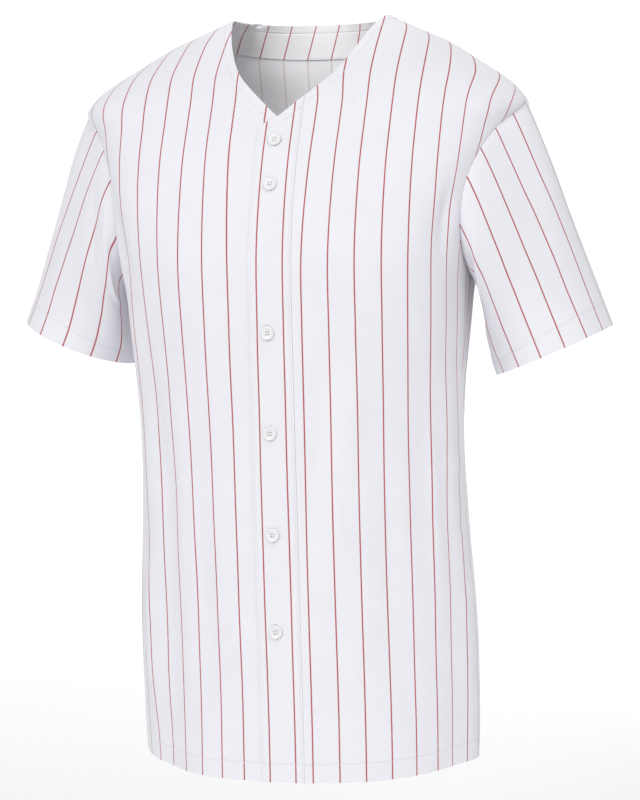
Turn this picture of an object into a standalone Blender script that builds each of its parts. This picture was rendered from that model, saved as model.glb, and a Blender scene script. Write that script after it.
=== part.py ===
"""A short-sleeved baseball jersey with a full button front, filled out as if worn, in metres.

+Z is up and the front faces -Y, so +X is the wearer's left. The origin is the middle of the
neck opening, level with the points where the shoulder seams meet the neck edge.

A place on the body is given by its angle round the torso (0 at the centre front, 90 at the
wearer's left side, 180 at the centre back, negative on the wearer's right) and its height.
"""

import math

import bmesh
import bpy
import numpy as np
from mathutils import Matrix

# Cloth
CLOTH = 0.0015
HEM_CLOTH = 0.0023
FACING_CLOTH = 0.0010
SEAM_GAP = 0.0003
HEM_DEPTH = 0.019

# Lengths of the garment, from the neck points down
TIP_Z = -0.096
UNDERARM_Z = -0.266
HEM_Z = -0.771
SIDE_HEM_RISE = 0.016
SIDE_HEM_SHAPE = 4

# The button band of the wearer's left front, over the edge of the right front
BAND_EDGE_X = -0.0185
BAND_SEAM_X = 0.0240
UNDER_EDGE_X = 0.0200
BAND_CLOTH = 0.0020
BAND_SETTLE = 0.035
LAP_GAP = 0.0005

# Armhole: how far its front and back edges swing in from the side of the torso
ARMHOLE_FRONT_SWING = 24.0
ARMHOLE_BACK_SWING = 30.0
ARMHOLE_SHAPE = 1.3

# Sleeves. The wearer's left cuff hangs a little lower than the right one
CUFF_X = 0.2515
CUFF_Y = 0.0105
CUFF_Z = {1: -0.3435, -1: -0.3305}
CUFF_HALF_WIDTH = 0.0635
CUFF_HALF_DEPTH = 0.0690
CUFF_TILT = 0.0085
SLEEVE_LEAN = 22.5
CAP_SPREAD = 0.12
CAP_SPREAD_SWING = -0.10

# Back neck facing, its depth at the centre back and how far its ends reach down the shoulders
FACING_DEPTH = 0.035
FACING_END_DROP = 0.0125
FACING_SHAPE = 1.6

# Buttons
BUTTON_RADIUS = 0.0068
BUTTON_THICK = 0.0026
BUTTON_RIM = 0.0012
BUTTON_DISH = 0.0005
BUTTON_Z = (-0.1425, -0.1865, -0.330, -0.427, -0.526, -0.621)

# Colours
KNIT_COLOUR = (0.86, 0.86, 0.90)
FACING_COLOUR = (0.80, 0.78, 0.80)
PLASTIC_COLOUR = (0.88, 0.88, 0.88)
KNIT_ROUGHNESS = 0.85
PLASTIC_ROUGHNESS = 0.35

# Mesh
LOWER_ROWS = 18
UPPER_ROWS = 12
NECK_ROWS = 4
FRONT_COLUMNS = 14
BACK_COLUMNS = 14
BAND_COLUMNS = 3
BAND_TOP_ROOM = 0.012
SLEEVE_ROWS = 8
FACING_ROWS = 2
BUTTON_SIDES = 20
LINE_SAMPLES = 25
NECK_SAMPLES = 60
ANGLE_SAMPLES = 361
MERGE_WITHIN = 1e-6
SHARP_FROM = 40.0
ANGLE_STEP = 1e-3
HEIGHT_STEP = 1e-4

# Horizontal sections of the torso, from the neck points down to the hem
SECTIONS = {
    "z": (0.0, -0.017, -0.027, -0.049, -0.078, -0.096, -0.124, -0.154, -0.194,
          -0.254, -0.324, -0.404, -0.504, -0.604, -0.704, -0.804),
    "half_width": (0.0815, 0.118, 0.140, 0.176, 0.217, 0.2295, 0.213, 0.201, 0.1895,
                   0.1775, 0.1710, 0.1665, 0.1685, 0.1750, 0.1765, 0.1730),
    "front": (0.030, 0.048, 0.056, 0.072, 0.088, 0.094, 0.099, 0.104, 0.109,
              0.118, 0.121, 0.122, 0.123, 0.127, 0.129, 0.131),
    "back": (0.060, 0.066, 0.071, 0.081, 0.097, 0.107, 0.121, 0.132, 0.140,
             0.150, 0.156, 0.157, 0.150, 0.141, 0.134, 0.132),
    "centre_y": (0.0, -0.003, -0.006, -0.012, -0.020, -0.026, -0.036, -0.046, -0.055,
                 -0.058, -0.051, -0.042, -0.032, -0.015, 0.0, 0.010),
    "front_square": (0.0, 0.0, 0.0, 0.005, 0.020, 0.030, 0.040, 0.050, 0.055,
                     0.048, 0.025, 0.005, -0.010, -0.015, -0.015, -0.015),
    "back_square": (0.0, 0.0, 0.010, 0.020, 0.045, 0.060, 0.085, 0.095, 0.095,
                    0.075, 0.045, 0.020, 0.0, 0.0, 0.0, 0.0),
}

# Front neck edge from past the centre front, up to the neck point
NECK_EDGE = {
    "x": (-0.020, 0.0, 0.0165, 0.0335, 0.0500, 0.0640, 0.0755, 0.0815),
    "z": (-0.1285, -0.1175, -0.1030, -0.0870, -0.0685, -0.0420, -0.0135, 0.0),
}

# The largest folds: centre line from top to bottom, half width in degrees, height outwards
FOLDS = {
    "angle_top": (-62, -42, 72, 104, 128, 152, 176, -156, -132, -106, -70, 66),
    "z_top": (-0.24, -0.40, -0.34, -0.30, -0.22, -0.34, -0.26, -0.30, -0.24, -0.33, -0.13, -0.13),
    "angle_bottom": (-54, -50, 80, 102, 132, 156, 180, -152, -128, -100, -56, 55),
    "z_bottom": (-0.70, -0.80, -0.80, -0.80, -0.74, -0.80, -0.70, -0.80, -0.76, -0.80, -0.27, -0.25),
    "half_width": (9, 8, 8, 9, 9, 10, 9, 10, 9, 9, 7, 7),
    "height": (0.0035, -0.0030, 0.0035, -0.0050, 0.0080, -0.0060, 0.0070, -0.0065, 0.0075,
               -0.0050, -0.0030, -0.0030),
}
FOLD_FADE = 0.09
FOLD_END_SHARE = 0.5


def spline(xs, ys, x):
    """Smooth curve through a table's points, whose xs may rise or fall."""
    xs, ys = np.array(xs, float), np.array(ys, float)
    if xs[0] > xs[-1]:
        xs, ys = xs[::-1], ys[::-1]
    slopes = np.gradient(ys, xs)
    x = np.clip(x, xs[0], xs[-1])
    k = np.clip(np.searchsorted(xs, x) - 1, 0, len(xs) - 2)
    step = xs[k + 1] - xs[k]
    t = (x - xs[k]) / step
    start = (1 + 2 * t) * (1 - t) ** 2 * ys[k] + t * (1 - t) ** 2 * step * slopes[k]
    end = t * t * (3 - 2 * t) * ys[k + 1] - t * t * (1 - t) * step * slopes[k + 1]
    return start + end


def section(column, z):
    return spline(SECTIONS["z"], SECTIONS[column], z)


def smooth_step(x):
    x = np.clip(x, 0.0, 1.0)
    return x * x * (3 - 2 * x)


def unit(vectors):
    return vectors / np.linalg.norm(vectors, axis=-1, keepdims=True)


def across(theta, square):
    """Sideways share of the section's half width at an angle, 1 at 90 degrees."""
    return (np.sin(theta) + square * np.sin(3 * theta)) / (1 - square)


def forward(theta, square):
    """Forward share of the section's depth at an angle, 1 at the centre front."""
    return (np.cos(theta) - square * np.cos(3 * theta)) / (1 - square)


def smooth_torso(theta, z):
    """The torso without folds. Theta in radians."""
    in_front = np.cos(theta) > 0
    square = np.where(in_front, section("front_square", z), section("back_square", z))
    ahead = forward(theta, square)
    depth = np.where(in_front, section("front", z), section("back", z))
    x = section("half_width", z) * across(theta, square)
    y = section("centre_y", z) - depth * ahead
    return np.stack([x, y, z + 0 * x], axis=-1)


def normals_of(surface, theta, z):
    """Outward unit normals of a surface given as a function of angle and height."""
    around = surface(theta + ANGLE_STEP, z) - surface(theta - ANGLE_STEP, z)
    down = surface(theta, z - HEIGHT_STEP) - surface(theta, z + HEIGHT_STEP)
    return unit(np.cross(down, around))


def fold_height(theta, z):
    total = 0.0 * theta
    degrees = np.degrees(theta)
    for k in range(len(FOLDS["z_top"])):
        top, bottom = FOLDS["z_top"][k], FOLDS["z_bottom"][k]
        share = np.clip((top - z) / (top - bottom), 0, 1)
        centre = FOLDS["angle_top"][k] * (1 - share) + FOLDS["angle_bottom"][k] * share
        away = ((degrees - centre + 180) % 360 - 180) / FOLDS["half_width"][k]
        fade = smooth_step((top - z) / FOLD_FADE)
        fade = fade * smooth_step((z - bottom) / FOLD_FADE + FOLD_END_SHARE)
        total = total + FOLDS["height"][k] * np.exp(-away * away) * fade
    return total


def torso(theta, z):
    """Outer face of a single layer of cloth, with its folds."""
    out = normals_of(smooth_torso, theta, z)
    return smooth_torso(theta, z) + out * fold_height(theta, z)[..., None]


def angle_at(x, z):
    """Angle round the front at which a section reaches x."""
    angles = np.linspace(-math.pi / 2, math.pi / 2, ANGLE_SAMPLES)
    x, z = np.broadcast_arrays(np.asarray(x, float), np.asarray(z, float))
    found = np.empty(x.shape)
    for index in np.ndindex(x.shape):
        reach = section("half_width", z[index]) * across(angles, section("front_square", z[index]))
        found[index] = np.interp(x[index], reach, angles)
    return found


def hem_z(theta):
    return HEM_Z + SIDE_HEM_RISE * np.sin(theta) ** SIDE_HEM_SHAPE


def armhole_line(swing, count):
    """Angles and heights down one edge of an armhole, from the shoulder tip to the underarm."""
    turn = np.linspace(0, math.pi, count + 1)
    z = TIP_Z + (UNDERARM_Z - TIP_Z) * (1 - np.cos(turn)) / 2
    theta = math.pi / 2 - math.radians(swing) * np.sin(turn) ** ARMHOLE_SHAPE
    return theta, z


def patch(inner, outer, bottom, top):
    """Coons patch between four lists of (angle, height). Rows run up and columns run outwards."""
    rows, columns = len(inner), len(bottom)
    t = np.linspace(0, 1, rows)[:, None, None]
    c = np.linspace(0, 1, columns)[None, :, None]
    across_rows = (1 - c) * inner[:, None] + c * outer[:, None]
    up_columns = (1 - t) * bottom[None] + t * top[None]
    corners = (1 - t) * ((1 - c) * bottom[0] + c * bottom[-1])
    corners = corners + t * ((1 - c) * top[0] + c * top[-1])
    return across_rows + up_columns - corners


def lower_heights():
    """Shares of the way from hem to underarm: two rows for the turned-up hem, then even ones."""
    length = UNDERARM_Z - HEM_Z
    hem_rows = np.array([0.0, HEM_DEPTH, HEM_DEPTH + CLOTH]) / length
    return np.concatenate([hem_rows, np.linspace(hem_rows[-1], 1, LOWER_ROWS - 1)[1:]])


def spread(line, count):
    """Points of a (angle, height) line at even distances along the cloth."""
    places = smooth_torso(line[:, 0], line[:, 1])
    gone = np.concatenate([[0], np.cumsum(np.linalg.norm(np.diff(places, axis=0), axis=1))])
    even = np.linspace(0, gone[-1], count)
    return np.stack([np.interp(even, gone, line[:, k]) for k in (0, 1)], axis=-1)


def panel_plan(inner_at, neck_line, swing, columns):
    """(angle, height) of each grid point of half a front or back, on the wearer's left."""
    shares = lower_heights()[:, None]
    c = np.linspace(0, 1, columns + 1)[None, :]
    start = float(inner_at(UNDERARM_Z))
    low = hem_z(start * (1 - c) + math.pi / 2 * c)
    lower_z = low + (UNDERARM_Z - low) * shares
    lower_angle = inner_at(lower_z[:, 0])[:, None] * (1 - c) + math.pi / 2 * c
    lower = np.stack([lower_angle, lower_z], axis=-1)

    rise_z = np.linspace(UNDERARM_Z, neck_line[0, 1], LINE_SAMPLES)
    rise = np.stack([inner_at(rise_z), rise_z], axis=-1)
    rise = spread(rise, UPPER_ROWS - NECK_ROWS + 1)
    inner = np.concatenate([rise, spread(neck_line, NECK_ROWS + 1)[1:]])
    outer = np.stack(armhole_line(swing, UPPER_ROWS), axis=-1)[::-1]
    ridge_z = np.linspace(neck_line[-1, 1], TIP_Z, LINE_SAMPLES)
    ridge = np.stack([np.full(LINE_SAMPLES, math.pi / 2), ridge_z], axis=-1)
    upper = patch(inner, outer, lower[-1], spread(ridge, columns + 1))
    return np.concatenate([lower, upper[1:]])


def front_neck_line(from_x):
    """(angle, height) along the front neck edge, from the given x up to the neck point."""
    count = len(NECK_EDGE["x"])
    finer = np.linspace(0, count - 1, NECK_SAMPLES)
    x = spline(range(count), NECK_EDGE["x"], finer)
    z = spline(range(count), NECK_EDGE["z"], finer)
    keep = x > from_x
    first_z = np.interp(from_x, x, z)
    x, z = np.append(from_x, x[keep]), np.append(first_z, z[keep])
    theta = angle_at(x, z)
    theta[-1] = math.pi / 2
    return np.stack([theta, z], axis=-1)


def front_plan(inner_x):
    return panel_plan(
        lambda z: angle_at(inner_x, z), front_neck_line(inner_x), ARMHOLE_FRONT_SWING, FRONT_COLUMNS
    )


def facing_line():
    """(angle, height) of the facing's lower edge, from the centre back to the shoulder seam."""
    theta = np.linspace(0, math.pi / 2, LINE_SAMPLES)
    middle = np.cos(theta) ** FACING_SHAPE
    return np.stack([theta, -(FACING_DEPTH * middle + FACING_END_DROP * (1 - middle))], axis=-1)


def back_plan():
    """Half the back below the facing's edge, its angle measured from the centre back."""
    return panel_plan(lambda z: 0 * np.asarray(z), facing_line(), ARMHOLE_BACK_SWING, BACK_COLUMNS)


def neck_strip_plan():
    """Half the back between the facing's lower edge and the neck edge, in the same angles."""
    low = spread(facing_line(), NECK_ROWS + 1)
    up = np.linspace(0, 1, FACING_ROWS + 1)[:, None]
    return np.stack([low[:, 0] + 0 * up, low[:, 1] * (1 - up)], axis=-1)


def cap_direction(count):
    """Start directions of the sleeve's lines round the armhole, on the wearer's left."""
    turn = np.linspace(0, 2 * math.pi, count, endpoint=False)
    lean = math.radians(SLEEVE_LEAN)
    sideways = math.sin(lean) + CAP_SPREAD + CAP_SPREAD_SWING * np.cos(turn)
    return unit(np.stack([sideways, 0 * turn, np.full(count, -math.cos(lean))], axis=-1))


def armhole(side):
    """Points and mitred outward normals round an armhole: tip, front, underarm, back."""
    count = UPPER_ROWS
    front_angle, front_z = armhole_line(ARMHOLE_FRONT_SWING, count)
    back_angle, back_z = armhole_line(ARMHOLE_BACK_SWING, count)
    theta = np.concatenate([front_angle, math.pi - back_angle[-2:0:-1]]) * side
    z = np.concatenate([front_z, back_z[-2:0:-1]])
    points = torso(theta, z)
    body_out = normals_of(torso, theta, z)
    along = np.roll(points, -1, axis=0) - np.roll(points, 1, axis=0)
    start = cap_direction(len(points)) * (side, 1, 1)
    sleeve_out = unit(np.cross(along, start)) * side
    return points, unit(body_out + sleeve_out), start


def armhole_shift(side):
    points, normals, _ = armhole(side)
    along = np.roll(points, -1, axis=0) - np.roll(points, 1, axis=0)
    sideways = unit(np.cross(normals, along))
    return sideways * np.sign(sideways[:, :1].sum() * side) * SEAM_GAP / 2


def faces_of(plan, side, back, thickness, lift=None):
    """Outer and inner faces of a grid on one side of the body, before its seams are parted."""
    theta = (math.pi - plan[..., 0] if back else plan[..., 0]) * side
    outer = torso(theta, plan[..., 1])
    normals = normals_of(torso, theta, plan[..., 1])
    if len(plan) > UPPER_ROWS:
        normals[LOWER_ROWS:, -1] = armhole(side)[1][armhole_order(back)]
    if lift is not None:
        outer = outer + normals * lift(outer)[..., None]
    return outer, outer - normals * thickness[..., None]


def armhole_order(back):
    """Places round the armhole of a panel's edge, from the underarm up to the tip."""
    if back:
        return np.arange(UPPER_ROWS, 2 * UPPER_ROWS + 1) % (2 * UPPER_ROWS)
    return np.arange(UPPER_ROWS, -1, -1)


def panel_walls(plan, side, back, thickness, lift=None):
    """Outer and inner faces of half a front or back, parted from its neighbours at the seams."""
    faces = faces_of(plan, side, back, thickness, lift)
    own_way = np.array((0, SEAM_GAP / 2 if back else -SEAM_GAP / 2, 0))
    for face in faces:
        face[-1] += own_way
        face[: LOWER_ROWS + 1, -1] += own_way
        face[LOWER_ROWS:, -1] -= armhole_shift(side)[armhole_order(back)]
    return faces


def hem_thickness(plan):
    """Cloth thickness over a panel: doubled in the turned-up hem."""
    thick = np.full(plan.shape[:2], CLOTH)
    thick[:2] = HEM_CLOTH
    return thick


def top_layer_lift(points):
    """How far the wearer's left front stands off, to clear the edge that it laps over."""
    beside = smooth_step(1 - (points[..., 0] - BAND_SEAM_X) / BAND_SETTLE)
    return BAND_CLOTH * beside


def material(name, colour, roughness):
    made = bpy.data.materials.new(name)
    made.use_nodes = True
    shader = made.node_tree.nodes["Principled BSDF"]
    shader.inputs["Base Color"].default_value = (*colour, 1)
    shader.inputs["Roughness"].default_value = roughness
    shader.inputs["Metallic"].default_value = 0
    made.diffuse_color = (*colour, 1)
    return made


def finish_mesh(mesh, name, coat):
    bmesh.ops.remove_doubles(mesh, verts=mesh.verts, dist=MERGE_WITHIN)
    bmesh.ops.recalc_face_normals(mesh, faces=mesh.faces)
    data = bpy.data.meshes.new(name)
    mesh.to_mesh(data)
    mesh.free()
    data.materials.append(coat)
    data.shade_smooth()
    data.set_sharp_from_angle(angle=math.radians(SHARP_FROM))
    made = bpy.data.objects.new(name, data)
    bpy.context.scene.collection.objects.link(made)
    return made


def add_wall(mesh, outer, inner, ring=False, joined=()):
    """Faces of a wall between two grids. Its edges named in joined are left for the next grid."""
    rows, columns = outer.shape[:2]
    skins = [[[mesh.verts.new(p) for p in row] for row in face] for face in (outer, inner)]
    steps = columns if ring else columns - 1
    for row in range(rows - 1):
        for column in range(steps):
            after = (column + 1) % columns
            for skin in skins:
                low, high = skin[row], skin[row + 1]
                mesh.faces.new((low[column], low[after], high[after], high[column]))
    edges = {
        "first_row": [[skin[0][c % columns] for c in range(steps + 1)] for skin in skins],
        "last_row": [[skin[-1][c % columns] for c in range(steps + 1)] for skin in skins],
    }
    if not ring:
        edges["first_column"] = [[row[0] for row in skin] for skin in skins]
        edges["last_column"] = [[row[-1] for row in skin] for skin in skins]
    for name, (outside, inside) in edges.items():
        if name in joined:
            continue
        for k in range(len(outside) - 1):
            mesh.faces.new((outside[k], outside[k + 1], inside[k + 1], inside[k]))


def wall_object(name, walls, coat):
    """One object from a list of walls, each a pair of faces and the options of add_wall."""
    mesh = bmesh.new()
    for faces, options in walls:
        add_wall(mesh, *faces, **options)
    return finish_mesh(mesh, name, coat)


def make_fronts(coat):
    right = front_plan(-UNDER_EDGE_X)
    wall_object("front_right", [(panel_walls(right, -1, False, hem_thickness(right)), {})], coat)
    left = front_plan(BAND_SEAM_X)
    faces = panel_walls(left, 1, False, hem_thickness(left), top_layer_lift)
    for face in faces:
        face[: len(left) - NECK_ROWS, 0, 0] += SEAM_GAP / 2
    wall_object("front_left", [(faces, {})], coat)


def make_band(coat):
    """The button band: a folded strip from hem to neck edge, over the right front's edge.

    Its rows lie at the heights of the right front's rows, so that the two layers stay apart.
    """
    x = np.linspace(BAND_EDGE_X, BAND_SEAM_X - SEAM_GAP / 2, BAND_COLUMNS + 1)
    neck = np.interp(x, NECK_EDGE["x"], NECK_EDGE["z"])
    levels = front_plan(-UNDER_EDGE_X)[: -NECK_ROWS, 0, 1]
    levels = levels[levels < neck.min() - BAND_TOP_ROOM][:, None] + 0 * x
    z = np.concatenate([levels, [(levels[-1] + neck) / 2], [neck]])
    theta = angle_at(x + 0 * z, z)
    normals = normals_of(torso, theta, z)
    inner = torso(theta, z) + normals * LAP_GAP
    wall_object("placket_band", [((inner + normals * BAND_CLOTH, inner), {})], coat)


def make_back(coat, facing_coat):
    """The back, and the facing made from the points of its neck strip, moved in."""
    plan, strip = back_plan(), neck_strip_plan()
    walls, facing = [], []
    own_way = np.array((0, SEAM_GAP / 2, 0))
    for side in (1, -1):
        walls.append(
            (panel_walls(plan, side, True, hem_thickness(plan)), {"joined": ("first_column",)})
        )
        skin = faces_of(strip, side, True, np.full(strip.shape[:2], CLOTH))
        within = faces_of(strip, side, True, np.full(strip.shape[:2], CLOTH + SEAM_GAP))[1]
        depth = CLOTH + SEAM_GAP + FACING_CLOTH
        further = faces_of(strip, side, True, np.full(strip.shape[:2], depth))[1]
        for face in (*skin, within, further):
            face[:, -1] += own_way
        walls.append((skin, {"joined": ("first_row", "first_column")}))
        facing.append(((within, further), {"joined": ("first_column",)}))
    wall_object("back", walls, coat)
    wall_object("back_neck_facing", facing, facing_coat)


def cuff_ring(side, count):
    turn = np.linspace(0, 2 * math.pi, count, endpoint=False)[:, None]
    lean = math.radians(SLEEVE_LEAN)
    outward = np.array((math.cos(lean), 0, math.sin(lean)))
    ring = np.array((CUFF_X, CUFF_Y, CUFF_Z[side])) + CUFF_HALF_WIDTH * np.cos(turn) * outward
    ring = ring - np.sin(turn) * np.array((0, CUFF_HALF_DEPTH, CUFF_TILT))
    return ring * (side, 1, 1)


def make_sleeve(side, name, coat):
    start, start_normals, start_way = armhole(side)
    end = cuff_ring(side, len(start))
    lean = math.radians(SLEEVE_LEAN)
    axis = np.array((math.sin(lean) * side, 0, -math.cos(lean)))
    reach = np.linalg.norm(end - start, axis=1, keepdims=True)
    hem_share = HEM_DEPTH / reach.mean()
    shares = np.append(np.linspace(0, 1 - hem_share, SLEEVE_ROWS), 1)
    rows = []
    for t in shares:
        begin = (1 + 2 * t) * (1 - t) ** 2 * start + t * (1 - t) ** 2 * reach * start_way
        finish = t * t * (3 - 2 * t) * end - t * t * (1 - t) * reach * axis
        rows.append(begin + finish)
    outer = np.array(rows)
    along = np.gradient(outer, axis=0)
    around = np.roll(outer, -1, axis=1) - np.roll(outer, 1, axis=1)
    normals = unit(np.cross(around, along)) * side
    normals[0] = start_normals
    thick = np.full(len(outer), CLOTH)
    thick[-2:] = HEM_CLOTH
    inner = outer - normals * thick[:, None, None]
    for face in (outer, inner):
        face[0] += armhole_shift(side)
    wall_object(name, [((outer, inner), {"ring": True})], coat)


def make_button(number, z, coat):
    """A dished button with a raised rim, lying on the band at the centre front."""
    place = torso(np.array(0.0), np.array(z))
    out = normals_of(torso, np.array(0.0), np.array(z))
    profile = (
        (0, 0), (BUTTON_RADIUS - BUTTON_DISH, 0), (BUTTON_RADIUS, BUTTON_THICK / 2),
        (BUTTON_RADIUS - BUTTON_DISH, BUTTON_THICK), (BUTTON_RADIUS - BUTTON_RIM, BUTTON_THICK),
        (BUTTON_RADIUS - 2 * BUTTON_RIM, BUTTON_THICK - BUTTON_DISH), (0, BUTTON_THICK - BUTTON_DISH),
    )
    mesh = bmesh.new()
    verts = [mesh.verts.new((radius, 0, height)) for radius, height in profile]
    edges = [mesh.edges.new(pair) for pair in zip(verts, verts[1:])]
    bmesh.ops.spin(mesh, geom=verts + edges, cent=(0, 0, 0), axis=(0, 0, 1), angle=2 * math.pi,
                   steps=BUTTON_SIDES, use_merge=True)
    made = finish_mesh(mesh, f"button_{number}", coat)
    across_way = unit(np.cross((0.0, 0.0, 1.0), out))
    up_way = np.cross(out, across_way)
    foot = place + out * (LAP_GAP + BAND_CLOTH + SEAM_GAP)
    frame = np.eye(4)
    frame[:3, :4] = np.stack([across_way, up_way, out, foot], axis=1)
    made.matrix_world = Matrix(frame.tolist())


def main():
    for old in list(bpy.data.objects):
        bpy.data.objects.remove(old, do_unlink=True)
    white_cloth = material("white_knit", KNIT_COLOUR, KNIT_ROUGHNESS)
    facing_cloth = material("facing_knit", FACING_COLOUR, KNIT_ROUGHNESS)
    white_plastic = material("white_plastic", PLASTIC_COLOUR, PLASTIC_ROUGHNESS)
    make_fronts(white_cloth)
    make_band(white_cloth)
    make_back(white_cloth, facing_cloth)
    make_sleeve(1, "sleeve_left", white_cloth)
    make_sleeve(-1, "sleeve_right", white_cloth)
    for number, z in enumerate(BUTTON_Z, 1):
        make_button(number, z, white_plastic)


main()
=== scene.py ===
"""Looks of a pinstriped baseball jersey, filled out as if worn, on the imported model's frame.

Metres, +Z up, the front faces -Y, +X is the wearer's left. A place on the body is given by its
angle round the torso (0 at the centre front, 90 at the wearer's left side) and its height.
"""

import math

import bmesh
import bpy
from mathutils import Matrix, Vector
import numpy as np


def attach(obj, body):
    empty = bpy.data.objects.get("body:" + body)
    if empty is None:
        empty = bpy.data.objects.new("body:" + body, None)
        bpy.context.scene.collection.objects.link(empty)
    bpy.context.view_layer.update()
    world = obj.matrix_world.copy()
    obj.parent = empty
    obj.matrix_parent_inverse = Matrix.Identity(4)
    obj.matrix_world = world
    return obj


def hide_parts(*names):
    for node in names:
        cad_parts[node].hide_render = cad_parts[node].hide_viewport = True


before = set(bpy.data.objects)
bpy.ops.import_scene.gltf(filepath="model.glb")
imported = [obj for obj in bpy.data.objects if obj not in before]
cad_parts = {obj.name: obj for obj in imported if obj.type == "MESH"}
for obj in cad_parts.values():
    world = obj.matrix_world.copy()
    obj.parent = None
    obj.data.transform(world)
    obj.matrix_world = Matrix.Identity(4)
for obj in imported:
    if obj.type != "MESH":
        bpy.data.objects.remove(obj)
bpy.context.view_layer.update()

# Cloth
CLOTH = 0.0012
HEM_CLOTH = 0.0021
FACING_CLOTH = 0.0008
SOLID_CLOTH = 0.0015
SEAM_GAP = 0.0003
HEM_DEPTH = 0.019
# The doubled cloth of a hem ends in a soft step, and cloth rolls in beside a seam
HEM_STEP_TOP, HEM_STEP = 0.0215, 0.002
SEAM_DITCH, SEAM_DITCH_WIDTH = 0.0007, 0.003
TIP_Z = -0.096
UNDERARM_Z = -0.266
HEM_Z = -0.771
SIDE_HEM_RISE = 0.016
BAND_EDGE_X = -0.0185
BAND_SEAM_X = 0.0240
UNDER_EDGE_X = 0.0200
BAND_CLOTH = 0.0020
BAND_SETTLE = 0.035
LAP_GAP = 0.0005
ARMHOLE_FRONT_SWING = 24.0
ARMHOLE_BACK_SWING = 30.0
ARMHOLE_SHAPE = 1.3
CUFF_X = 0.2515
CUFF_Y = 0.0105
CUFF_Z = {1: -0.3435, -1: -0.3305}
CUFF_HALF_WIDTH = 0.0635
CUFF_HALF_DEPTH = 0.0690
CUFF_TILT = 0.0085
SLEEVE_LEAN = 22.5
CAP_SPREAD = 0.12
CAP_SPREAD_SWING = -0.10
FACING_DEPTH = 0.035
FACING_END_DROP = 0.0125
FACING_SHAPE = 1.6
BUTTON_RADIUS = 0.0068
BUTTON_THICK = 0.0026
BUTTON_TILT = (7, -4, 9, -6, 3, 11)
HOLE_APART = 0.00125
BUTTON_Z = (-0.1425, -0.1865, -0.330, -0.427, -0.526, -0.621)

# Mesh
LOWER_ROWS = 140
UPPER_ROWS = 60
NECK_ROWS = 26
COLUMNS = 76
BAND_COLUMNS = 14
SLEEVE_ROWS = 62
FACING_ROWS = 10
PLAN_SAMPLES = 60
NECK_SAMPLES = 120
ANGLE_SAMPLES = 361
WAY_STEP = 0.002
SHARP_FROM = 50

# Stripes, along the cloth from the centre front or centre back
STRIPE_PITCH = 0.02594
STRIPE_START = {
    "band": -0.0102, "left": -0.0193, "right": -0.0417, "back": -0.0095,
    "sleeve_left": 0.0058, "sleeve_right": 0.0117,
}
SLEEVE_STRIPE_SHARE = {1: 1.0, -1: 0.84}
BACK_STRIPE_LEAN = 0.32

# How far the cloth has shifted under each stripe, in mm: a row for each height, a column for each
# place along the cloth from the centre front
DRIFT = {
    "right": {
        "along": (0.015, 0.045, 0.095, 0.145, 0.205),
        "z": (-0.065, -0.105, -0.290, -0.575),
        "shift": ((-1, -9, -5, -4, -4), (2, -5.5, -1, -0.5, -5), (3, 1.2, 1, 6.5, 8), (4, 3, 5, 8, 13)),
    },
    "left": {
        "along": (0.035, 0.085, 0.135, 0.165, 0.190, 0.230),
        "z": (-0.065, -0.105, -0.290, -0.575),
        "shift": ((-1, 0, 0, 0, 2, 9), (5, 1.5, 0, -1.5, -6, -6), (1, 0.7, 1, 2, -2, -6),
                  (0, 0.5, 1.5, 0, -10, -18)),
    },
}
STRIPE_CORE, STRIPE_EDGE, STRIPE_RAGGED = 0.00048, 0.00092, 0.00024

TOPSTITCH_FROM_NECK = 0.008
TOPSTITCH_FROM_HEM = 0.018
FACING_LINE_FROM_NECK = 0.039
WALE_PITCH, COURSE_PITCH, LOOP_HEIGHT = 0.0011, 0.0009, 0.00003
GROOVE_WIDTH, GROOVE_DEPTH = 0.0016, 0.00045

SECTIONS = {
    "z": (0.0, -0.017, -0.027, -0.049, -0.078, -0.096, -0.124, -0.154, -0.194,
          -0.254, -0.324, -0.404, -0.504, -0.604, -0.704, -0.804),
    "half_width": (0.0815, 0.118, 0.140, 0.176, 0.217, 0.2295, 0.213, 0.201, 0.1895,
                   0.1775, 0.1710, 0.1665, 0.1685, 0.1750, 0.1765, 0.1730),
    "front": (0.030, 0.048, 0.056, 0.072, 0.088, 0.094, 0.099, 0.104, 0.109,
              0.118, 0.121, 0.122, 0.123, 0.127, 0.129, 0.131),
    "back": (0.060, 0.066, 0.071, 0.081, 0.097, 0.107, 0.121, 0.132, 0.140,
             0.150, 0.156, 0.157, 0.150, 0.141, 0.134, 0.132),
    "centre_y": (0.0, -0.003, -0.006, -0.012, -0.020, -0.026, -0.036, -0.046, -0.055,
                 -0.058, -0.051, -0.042, -0.032, -0.015, 0.0, 0.010),
    "front_square": (0.0, 0.0, 0.0, 0.005, 0.020, 0.030, 0.040, 0.050, 0.055,
                     0.048, 0.025, 0.005, -0.010, -0.015, -0.015, -0.015),
    "back_square": (0.0, 0.0, 0.010, 0.020, 0.045, 0.060, 0.085, 0.095, 0.095,
                    0.075, 0.045, 0.020, 0.0, 0.0, 0.0, 0.0),
}
NECK_EDGE = {
    "x": (-0.020, 0.0, 0.0165, 0.0335, 0.0500, 0.0640, 0.0755, 0.0815),
    "z": (-0.1285, -0.1175, -0.1030, -0.0870, -0.0685, -0.0420, -0.0135, 0.0),
}

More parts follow.
